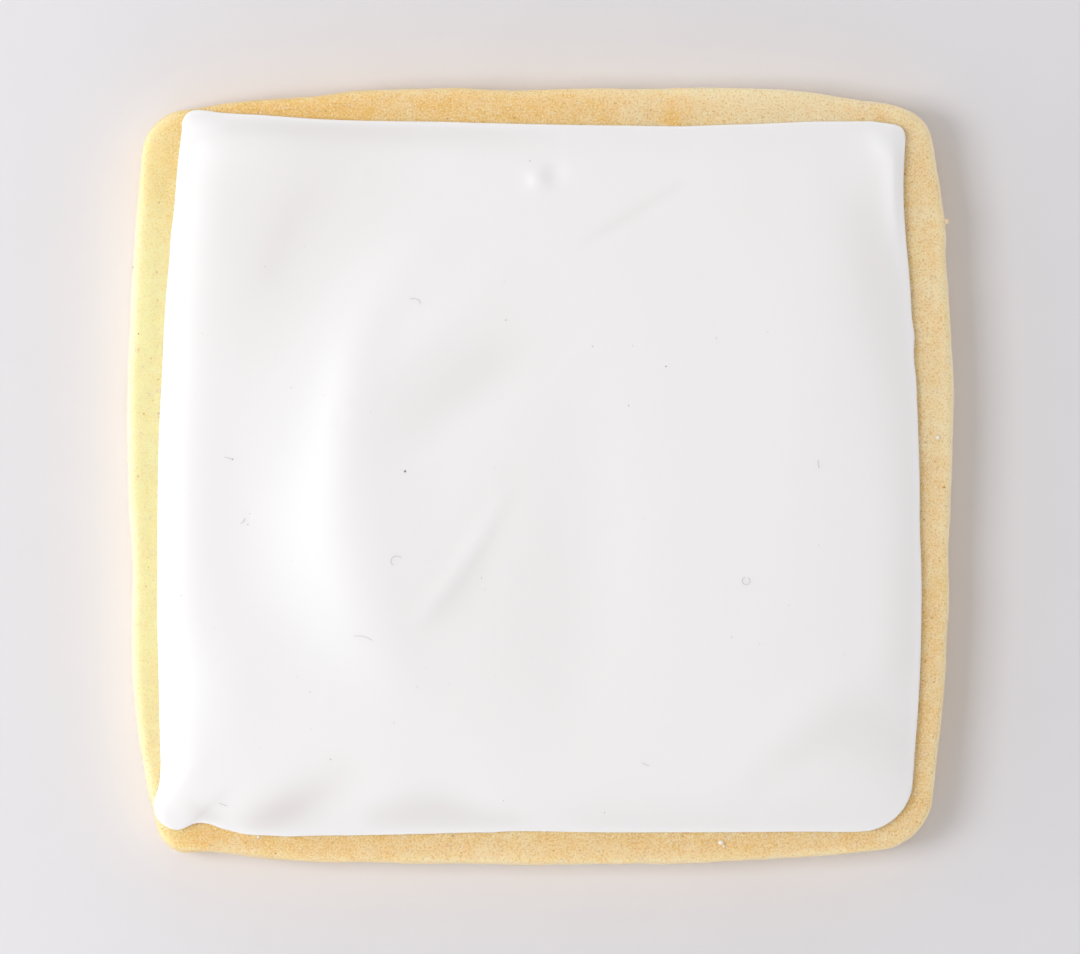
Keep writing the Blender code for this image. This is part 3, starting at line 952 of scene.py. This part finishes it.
class DoughSettings(bpy.types.PropertyGroup):
    """Sizes and colours of the baked dough."""

    belly_height: length("Belly height", "Height at which the wall stands out furthest", 1.3)
    foot_inset: length("Foot inset", "How far the underside's rim lies inside the belly", 0.35)
    wall_lean: length("Wall lean", "How far the wall leans in by its upper end", 0.3)
    shoulder_width: length("Shoulder width", "Width of the low crown beside the wall", 0.9)
    shoulder_height: length("Shoulder height", "Drop from the flat top to the wall", 0.7)
    top_width: length("Top width", "How far the fine net runs in over the flat top", 3.2)
    mesh_step: length("Mesh step", "Distance between the net's rings", 0.24)
    corners: whole_number("Corners", "Corners of each of the net's rings", 1280, 64)
    pale: colour("Pale dough", "Dough between the patches that took colour", "#FDE7BF")
    gold: colour("Golden dough", "Dough that took colour in the oven", "#F6CB7C")
    # painted light: the pale cream of the left side, where the light falls
    painted_lit_side: colour("Raw dough", "Dough that the oven barely coloured", "#FFF9BE")
    # flour by the wall, and the painted highlight of the lit left edge
    flour_and_lit_edge: colour("Floury skin", "Dry skin by the wall, dusted with flour", "#FFF8E4")
    brown: colour("Browned dough", "The foot and the grains that caught", "#D4A24E")
    # painted shade: the darker colour inside the open pores stands for the shade in each pit
    pore_shade: colour("Pores", "The inside of open pores", "#C08846")
    # pale sugar, painted brighter as glints where light catches it
    sugar_glint: colour("Sugar", "Sugar grains baked into the skin", "#FFF3D2")


class IcingSettings(bpy.types.PropertyGroup):
    """Sizes and colours of the icing."""

    thickness: length("Thickness", "From the dough's top to the icing's", 1.4)
    lip_height: length("Lip height", "Height of the edge over the dough", 0.75)
    corner_radius: length("Corner radius", "Rounding of the edge's upper corner", 0.2)
    lip_undercut: length("Lip undercut", "How far the edge's foot lies inside its lip", 0.04)
    foot_sink: length("Foot sink", "How deep the edge's foot sits in the dough", 0.12)
    bead_width: length("Bead width", "Distance over which the edge rises into the sheet", 6.0)
    relief_margin: length("Relief margin", "Distance from the edge over which the strokes grow", 1.2)
    stroke_depth: number("Stroke depth", "Scales the strokes and spots of the sheet", 1.0)
    net: whole_number("Net", "Squares along a side of the sheet's net", 268, 20)
    white: colour("White", "The icing's own white", "#F7F5F6")
    cream: colour("Cream", "Icing that took a little fat from the dough", "#F6F3F3")
    # painted shade: the grey that stands in for shade on the icing's slopes
    thin: colour("Thin icing", "Icing scraped so thin that the dough greys it", "#E2DCDA")
    # painted light: the white that stands in for light on the icing's slopes
    lit_icing: colour("Thick icing", "Icing heaped so thick that nothing shades it", "#FAF9FA")


class CrumbSettings(bpy.types.PropertyGroup):
    """Numbers and colours of the crumbs, grains and dust."""

    grains: whole_number("Sugar grains", "About how many grains show in the rim", 260)
    flecks: whole_number("Brown flecks", "About how many flecks show in the rim", 16)
    specks: whole_number("Dust specks", "Fine specks that settled at random", 26)
    seed: whole_number("Seed", "Seed of the scatter", 7, 0)
    lint_radius: length("Lint radius", "Half the thickness of a lint fibre", 0.016, 0.005, 0.1)
    grain: colour("Sugar", "Sugar grains, glassy and pale", "#FBE4BC")
    flake: colour("Dry flour", "Floury side of a crumb", "#F7ECD6")
    crumb: colour("Crumb", "Baked side of a crumb", "#E9C68E")
    chip: colour("Icing chip", "Dried icing", "#FBF8F3")
    fleck: colour("Fleck", "Browned dough", "#D6983F")
    scorch: colour("Scorch", "Darkest browned dough", "#C0812F")
    lint: colour("Lint", "Fibres of lint", "#C0BAB6")
    lint_edge: colour("Lint shade", "Darker lengths of the fibres", "#A39B97")
    dust: colour("Dust", "Dark dust", "#6B625B")
    dust_edge: colour("Dust shade", "Paler dust", "#A39A92")


class StageSettings(bpy.types.PropertyGroup):
    """The floor, the light and the camera."""

    paper: colour("Card", "The matte card under the cookie", "#EAE8EC")
    flat_radius: number("Flat radius", "Radius of the level floor", 0.6, 0.1, "LENGTH")
    wall_radius: number("Wall radius", "Radius of the backdrop's wall", 1.6, 0.2, "LENGTH")
    wall_height: number("Wall height", "Height of the backdrop", 0.15, 0.1, "LENGTH")
    heading: angle("Heading", "Where both softboxes hang, turned from +X", 181)
    window_power: number("Window power", "Power of the tall softbox", 1.06, unit="POWER")
    window_elevation: angle("Window elevation", "Its height over the floor", 57)
    window_distance: number("Window distance", "From the cookie to the tall softbox", 0.5, 0.1, "LENGTH")
    window_length: number("Window length", "Its longer side", 0.24, 0.01, "LENGTH")
    window_width: number("Window width", "Its shorter side", 0.19, 0.01, "LENGTH")
    card_power: number("Card power", "Power of the low softbox", 0.06, unit="POWER")
    card_elevation: angle("Card elevation", "Its height over the floor", 15)
    card_distance: number("Card distance", "From the cookie to the low softbox", 0.25, 0.1, "LENGTH")
    card_side: number("Card side", "Side of the low softbox, a square", 0.09, 0.01, "LENGTH")
    sky: number("Room light", "Strength of the light from above", 0.37)
    horizon: number("Horizon", "Strength of the light from the horizon", 2.25)
    camera_height: number("Camera height", "Camera above the floor", 0.7025, 0.1, "LENGTH")
    camera_lens: number("Camera lens", "Focal length", 233.3, 10.0, "CAMERA")


def hang_softbox(name, power, distance, elevation, heading, sides):
    """A flat lamp that faces the cookie from a distance, an elevation and a heading, unseen itself."""
    lamp = bpy.data.lights.new(name, "AREA")
    lamp.shape = "RECTANGLE"
    lamp.size, lamp.size_y = sides
    lamp.energy = power
    softbox = bpy.data.objects.new(name, lamp)
    level, high = math.cos(elevation), math.sin(elevation)
    softbox.location = distance * np.array([level * math.cos(heading), level * math.sin(heading), high])
    softbox.rotation_euler = (0, math.pi / 2 - elevation, heading)
    softbox.visible_camera = False
    bpy.context.scene.collection.objects.link(softbox)


def card_surface(stage):
    """Corners and faces of the card: a level disc whose rim climbs by a quarter ellipse."""
    inner_radii, wall_rings, around = (0.05, 0.2), 30, 96
    wall = np.linspace(stage.flat_radius, stage.wall_radius, wall_rings)
    radii = np.concatenate([inner_radii, wall])
    climb = np.clip((radii - stage.flat_radius) / (stage.wall_radius - stage.flat_radius), 0, 1)
    heights = stage.wall_height * (1 - np.sqrt(1 - climb**2))
    turn = np.linspace(0, 2 * math.pi, around, endpoint=False)
    flat = radii[:, None, None] * np.stack([np.cos(turn), np.sin(turn)], axis=-1)[None]
    points = np.dstack([flat, np.broadcast_to(heights[:, None], flat.shape[:2])]).reshape(-1, 3)
    faces = [ring_faces(k * around, (k + 1) * around, around)[:, ::-1] for k in range(len(radii) - 1)]
    here = np.arange(around)
    fan = np.column_stack([here, np.roll(here, -1), np.full(around, len(points))])
    points = np.vstack([points, [0, 0, 0]])
    return points, [*faces, fan]


def room_light(stage):
    """White light from all round, which goes evenly from the horizon's strength to the sky's."""
    world = bpy.data.worlds.new("room light")
    world.use_nodes = True
    room = world.node_tree
    background = room.nodes["Background"]
    background.inputs["Color"].default_value = (1.0, 1.0, 1.0, 1.0)
    way = add_node(room, "TexCoord").outputs["Generated"]
    height = add_node(room, "SeparateXYZ", {"Vector": way}).outputs["Z"]
    even_above = 0.6  # from this height on a sphere of radius 1 the room light stays the same
    limits = {"From Min": 0.0, "From Max": even_above, "To Min": stage.horizon, "To Max": stage.sky}
    strength = add_node(room, "MapRange", {"Value": height, **limits}).outputs["Result"]
    room.links.new(strength, background.inputs["Strength"])
    return world


def overhead_camera(stage):
    """A camera that looks straight down on the cookie."""
    lens = bpy.data.cameras.new("overhead camera")
    lens.lens = stage.camera_lens
    camera = bpy.data.objects.new("overhead camera", lens)
    to_the_front = 0.07 * MM  # the view's middle lies this far in front of the cookie's
    camera.location = (0, -to_the_front, stage.camera_height)
    return camera


# ---- Pieces --------------------


def dough_surface(dough):
    """Corners and faces of the baked dough.

    Its section is carried round the outline: each ring is the outline set in by the section's inset
    at that height. Noise then moves each corner along the surface's normal, by nothing at the tray
    and by the whole above the foot. Rings of ever fewer corners close the top and the underside.
    """
    insets, heights = dough_profile(dough)
    insets = np.append(insets, insets[-1] + dough.top_width)
    heights = np.append(heights, COOKIE_HEIGHT)
    run = np.concatenate([[0], np.cumsum(np.hypot(np.diff(insets), np.diff(heights)))])
    rings = round(run[-1] / dough.mesh_step) + 1
    stops = np.linspace(0, run[-1], rings)
    insets, heights = np.interp(stops, run, insets), np.interp(stops, run, heights)
    around = dough.corners // CAP_STEP * CAP_STEP
    edge = DOUGH_EDGE[np.arange(around) * OUTLINE_POINTS // around]
    slope_in, slope_up = np.gradient(insets), np.gradient(heights)
    tilt = np.hypot(slope_in, slope_up)
    flat = set_in(edge[None], insets[:, None, None])
    points = np.dstack([flat, np.broadcast_to(heights[:, None], flat.shape[:2])]).reshape(-1, 3)
    outward = outward_of(edge)[None] * (slope_up / tilt)[:, None, None]
    upward = np.broadcast_to((slope_in / tilt)[:, None], flat.shape[:2])
    normal = np.dstack([outward, upward]).reshape(-1, 3)
    foot = 1.2 * MM  # below this the tray kept the wall even
    grown = smoothstep(points[:, 2] / foot)
    points = points + normal * (layered_noise(points, DOUGH_UNEVENNESS) * grown)[:, None]
    points[:, 2] = points[:, 2].clip(0)
    faces = [ring_faces(k * around, (k + 1) * around, around) for k in range(rings - 1)]

    top = points[-around:]
    first_top = (rings - 1) * around
    cap, cap_faces = closing_cap(top, first_top, lambda flat: np.full(len(flat), top[:, 2].mean()))
    base, base_faces = closing_cap(points[:around], 0, lambda flat: np.zeros(len(flat)))
    # the underside's added points follow the top's, and its faces turn the other way
    shift = first_top + len(cap)
    base_faces = np.where(base_faces >= around, base_faces + shift, base_faces)[:, ::-1]
    points = np.concatenate([points, cap, base])
    faces += [cap_faces, base_faces]
    return points, faces


def icing_surface(icing, dough):
    """Corners and faces of the sheet of icing.

    A square net fills the middle: a point some share of the way out to the net's side stands at the
    same share of the way out to the outline. Rings carry on to the edge, each set in by a power of
    the share of the rim that is left. All of these are as high as the icing's top. From there a
    quarter ellipse turns down into the dough, and rings of ever fewer corners close the bottom.
    """
    around = 4 * icing.net // CAP_STEP * CAP_STEP
    net = around // 4
    corners = [np.argmax(ICING_EDGE @ way) for way in ((-1, -1), (1, -1), (1, 1), (-1, 1))]
    corners.append(corners[0] + OUTLINE_POINTS)
    corners = np.unwrap(np.array(corners), period=OUTLINE_POINTS)

    def edge_at(side):
        """Outline points by side number and share of the side, from the front left corner."""
        index = np.interp(side, np.arange(5), corners)
        whole = np.arange(-OUTLINE_POINTS, 3 * OUTLINE_POINTS)
        x = np.interp(index, whole, np.tile(ICING_EDGE[:, 0], 4))
        y = np.interp(index, whole, np.tile(ICING_EDGE[:, 1], 4))
        return np.stack([x, y], axis=-1)

    across, along = np.meshgrid(np.linspace(-1, 1, net + 1), np.linspace(-1, 1, net + 1))
    share = np.maximum(np.abs(across), np.abs(along))
    safe = np.where(share == 0, 1, share)
    u, v = across / safe, along / safe
    side = np.select(
        [v == -1, u == 1, v == 1], [(u + 1) / 2, 1 + (v + 1) / 2, 2 + (1 - u) / 2], 3 + (1 - v) / 2
    )
    rim = 1.2 * MM  # the square net stops here, and rings follow the outline the rest of the way
    sheet = (edge_at(side) * (share * (1 - rim / HALF_WIDTH))[..., None]).reshape(-1, 2)
    sheet_points = np.column_stack([sheet, icing_top(sheet, icing, dough)])
    index = np.arange((net + 1) ** 2).reshape(net + 1, net + 1)
    squares = [index[:-1, :-1], index[:-1, 1:], index[1:, 1:], index[1:, :-1]]
    sheet_faces = np.column_stack([corner.ravel() for corner in squares])
    loop = np.concatenate([index[0, :-1], index[:-1, -1], index[-1, :0:-1], index[:0:-1, 0]])

    edge = edge_at(np.arange(around) / net)
    rim_rings, lip_rings, crowding = 8, 4, 1.6  # the rings crowd towards the edge
    covered = np.linspace(0, 1, rim_rings + 1)[1:]
    points, faces = [sheet_points], [sheet_faces]
    for inset in rim * (1 - covered) ** crowding:
        flat = set_in(edge, inset)
        points.append(np.column_stack([flat, icing_top(flat, icing, dough)]))
    lip = icing.lip_height - icing.corner_radius
    for turn in np.linspace(0, math.pi / 2, lip_rings + 1)[1:]:
        flat = set_in(edge, icing.lip_undercut * (1 - math.cos(turn)))
        over_dough = lip - (lip + icing.foot_sink) * math.sin(turn)
        points.append(np.column_stack([flat, dough_top(flat, dough) + over_dough]))
    first = len(sheet)
    ring = first + np.arange(around)
    faces.append(np.column_stack([loop, ring, np.roll(ring, -1), np.roll(loop, -1)]))
    rings = len(points) - 1
    for k in range(rings - 1):
        faces.append(ring_faces(first + k * around, first + (k + 1) * around, around)[:, ::-1])
    last = first + (rings - 1) * around
    cap, cap_faces = closing_cap(points[-1], last, lambda flat: dough_top(flat, dough) - icing.foot_sink)
    points = np.concatenate([*points, cap])
    faces.append(cap_faces[:, ::-1])
    return points, faces


class COOKIE_OT_bake_dough(bpy.types.Operator):
    """Bakes the dough: a rolled, cut and browned square with a sandy skin"""

    bl_idname = "cookie.bake_dough"
    bl_label = "Bake Dough"

    def execute(self, context):
        dough = context.scene.cookie_dough
        points, faces = dough_surface(dough)
        material = baked_dough_material(dough)
        piece = new_piece("sugar_cookie", points, faces, material, "baked_dough", "cookie")
        for name, values in dough_finish(points).items():
            store(piece, name, values)
        return {"FINISHED"}


class COOKIE_OT_pour_icing(bpy.types.Operator):
    """Pours the icing: a sheet that follows the dough, with a rounded edge and a knife's strokes"""

    bl_idname = "cookie.pour_icing"
    bl_label = "Pour Icing"

    def execute(self, context):
        icing, dough = context.scene.cookie_icing, context.scene.cookie_dough
        points, faces = icing_surface(icing, dough)
        material = dried_icing_material(icing)
        piece = new_piece("royal_icing", points, faces, material, "white_icing", "icing")
        edge_highlight_reach = 0.25 * MM  # a painted highlight runs along the icing's edge
        edge_highlight = np.exp(-np.clip(inset_from(points[:, :2], ICING_EDGE), 0, None) / edge_highlight_reach)
        # the body attribute carries the painted light and shade of the icing, and the painted highlight
        # along its edge
        store(piece, "body", np.clip(icing_light_and_shade(points[:, :2]) + edge_highlight, -1, 1))
        return {"FINISHED"}


class COOKIE_OT_scatter_crumbs(bpy.types.Operator):
    """Scatters the crumbs, flakes, sugar grains and browned specks of the dough's bare rim"""

    bl_idname = "cookie.scatter_crumbs"
    bl_label = "Scatter Crumbs"

    def execute(self, context):
        scene = context.scene
        icing, dough, look = scene.cookie_icing, scene.cookie_dough, scene.cookie_crumbs
        chance = np.random.default_rng(look.seed)
        low, high = dough.wall_lean * 2, 4.5 * MM  # the bare rim, as insets from the dough's outline
        grain_widths, fleck_widths = (0.12 * MM, 0.26 * MM), (0.08 * MM, 0.15 * MM)
        clearance = 0.1 * MM  # between a bit and the icing's edge

        def drop(name, spots, material, flatness, sunk, slot="baked_dough"):
            """Makes one kind of bit as one piece, resting on the cookie."""
            spots = spots[inset_from(spots[:, :2], ICING_EDGE) < -clearance]
            heights = surface_height(spots[:, :2], icing, dough)
            points, faces = scattered_pebbles(spots, heights, flatness, sunk, chance)
            new_piece(name, points, faces, material, slot)

        # glassy sugar: pale points that catch the light and make the rim look sandy
        grains = spots_on(DOUGH_EDGE, 3 * look.grains, low, high, grain_widths, chance)
        sugar_glint = crumb_material("sugar grains", look.grain, look.flake, roughness=0.45)
        drop("sugar_grains", grains, sugar_glint, flatness=0.8, sunk=0.7)

        # toasted bits of dough: matte brown points that break up the even gold
        flecks = spots_on(DOUGH_EDGE, 3 * look.flecks, low, high, fleck_widths, chance)
        flecks = np.concatenate([np.array(BROWN_SPECKS) * MM, flecks])
        browned = crumb_material("browned dough specks", look.fleck, look.scorch, roughness=0.7)
        drop("browned_specks", flecks, browned, flatness=0.35, sunk=0.7)

        # broken dough: dry and dull, floury in patches, so each crumb reads paler than the crust
        baked = crumb_material("dry dough crumbs", look.flake, look.crumb, roughness=0.8)
        drop("dough_crumbs", np.array(DOUGH_CRUMBS) * MM, baked, flatness=0.7, sunk=0.15)

        # snapped-off icing: near white with a slight shine, the brightest thing on the rim
        chipped = crumb_material("chips of dried icing", look.chip, look.flake, roughness=0.5)
        flakes = np.array(ICING_FLAKES) * MM
        drop("icing_flakes", flakes, chipped, flatness=0.5, sunk=0.1, slot="white_icing")
        return {"FINISHED"}


class COOKIE_OT_settle_dust(bpy.types.Operator):
    """Settles dark specks and fibres of lint on the icing"""

    bl_idname = "cookie.settle_dust"
    bl_label = "Settle Dust"

    def execute(self, context):
        scene = context.scene
        icing, dough, look = scene.cookie_icing, scene.cookie_dough, scene.cookie_crumbs
        chance = np.random.default_rng(look.seed + 1)
        low, high = 2.0 * MM, 40.0 * MM  # the whole sheet but its edge
        fine_widths = (0.04 * MM, 0.08 * MM)
        flatness, sunk = 0.5, 0.3

        def top(flat):
            """Height of what the dust lies on."""
            return surface_height(flat, icing, dough)

        # settled dust: dull grey-brown points, too small to cast more than a touch of shade
        fine = spots_on(ICING_EDGE, look.specks, low, high, fine_widths, chance)
        specks = np.concatenate([np.array(DARK_SPECKS) * MM, fine])
        points, faces = scattered_pebbles(specks, top(specks[:, :2]), flatness, sunk, chance)
        dust = crumb_material("kitchen dust", look.dust, look.dust_edge, roughness=0.8)
        new_piece("dust_specks", points, faces, dust, "white_icing")

        # cotton threads: soft grey lines, paler than the dust and nearly without shine
        points, faces = fibre_tubes(LINT_FIBRES, look.lint_radius, top)
        lint = crumb_material("cotton lint", look.lint, look.lint_edge, roughness=0.7)
        new_piece("lint_fibres", points, faces, lint, "white_icing")
        return {"FINISHED"}


class COOKIE_OT_set_stage(bpy.types.Operator):
    """Sets the stage: a round card sweep, two softboxes at the left, room light and the camera"""

    bl_idname = "cookie.set_stage"
    bl_label = "Set Stage"

    def execute(self, context):
        stage = context.scene.cookie_stage
        points, faces = card_surface(stage)
        floor = new_piece("card_sweep", points, faces, paper_material(stage))

        # power, distance and elevation of each softbox
        tall = (stage.window_power, stage.window_distance, stage.window_elevation)
        low = (stage.card_power, stage.card_distance, stage.card_elevation)
        hang_softbox("tall softbox", *tall, stage.heading, (stage.window_length, stage.window_width))
        hang_softbox("low softbox", *low, stage.heading, (stage.card_side, stage.card_side))

        context.scene.world = room_light(stage)

        camera = overhead_camera(stage)
        context.scene.collection.objects.link(camera)
        context.scene.camera = camera
        context.scene.view_settings.view_transform = "Standard"
        return {"FINISHED"}


class COOKIE_PT_kitchen(bpy.types.Panel):
    """Lists the steps that make the cookie"""

    bl_label = "Iced Sugar Cookie"
    bl_idname = "COOKIE_PT_kitchen"
    bl_space_type = "VIEW_3D"
    bl_region_type = "UI"
    bl_category = "Cookie"

    def draw(self, context):
        for operator in OPERATORS:
            self.layout.operator(operator.bl_idname)


SETTINGS = {
    "cookie_dough": DoughSettings,
    "cookie_icing": IcingSettings,
    "cookie_crumbs": CrumbSettings,
    "cookie_stage": StageSettings,
}
OPERATORS = (
    COOKIE_OT_bake_dough,
    COOKIE_OT_pour_icing,
    COOKIE_OT_scatter_crumbs,
    COOKIE_OT_settle_dust,
    COOKIE_OT_set_stage,
)


def register():
    for name, group in SETTINGS.items():
        bpy.utils.register_class(group)
        setattr(bpy.types.Scene, name, PointerProperty(type=group))
    for item in (*OPERATORS, COOKIE_PT_kitchen):
        bpy.utils.register_class(item)


def unregister():
    for item in reversed((*OPERATORS, COOKIE_PT_kitchen)):
        bpy.utils.unregister_class(item)
    for name, group in reversed(SETTINGS.items()):
        delattr(bpy.types.Scene, name)
        bpy.utils.unregister_class(group)


def main():
    """Makes every piece in order."""
    register()
    bpy.ops.cookie.bake_dough()
    bpy.ops.cookie.pour_icing()
    bpy.ops.cookie.scatter_crumbs()
    bpy.ops.cookie.settle_dust()
    bpy.ops.cookie.set_stage()


if __name__ == "__main__":
    main()
